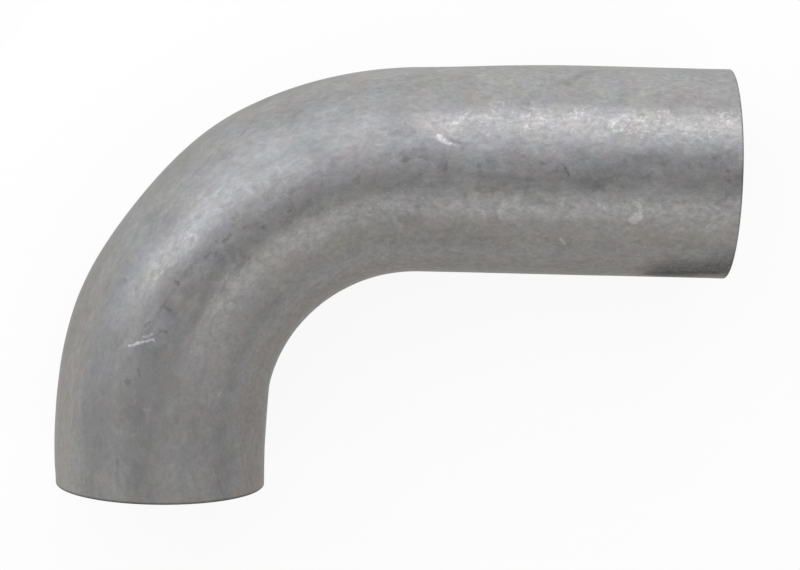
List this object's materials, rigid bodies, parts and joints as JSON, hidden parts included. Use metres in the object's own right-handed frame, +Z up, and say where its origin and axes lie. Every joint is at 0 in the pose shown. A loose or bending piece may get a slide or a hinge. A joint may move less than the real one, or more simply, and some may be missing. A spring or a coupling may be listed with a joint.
{
  "type": "tube bend",
  "caption": "Right-angle bend in one thick-walled round tube, with a long straight leg, a short straight leg and square-cut open ends.",
  "frame": {"origin": "on the surface that the bend lies on, under the centre of its bounding box", "axes": "+X points out of the long leg's open end, -Y points out of the short leg's open end, +Z is up, square to the plane that the bend lies in"},
  "size_m": [0.1534, 0.0994, 0.0483],
  "materials": {
    "bare_metal": "mill finish, tumbled dull, with small dings and scratches"
  },
  "bodies": {
    "root": {"tube_bend": "bare_metal"}
  },
  "joints": []
}
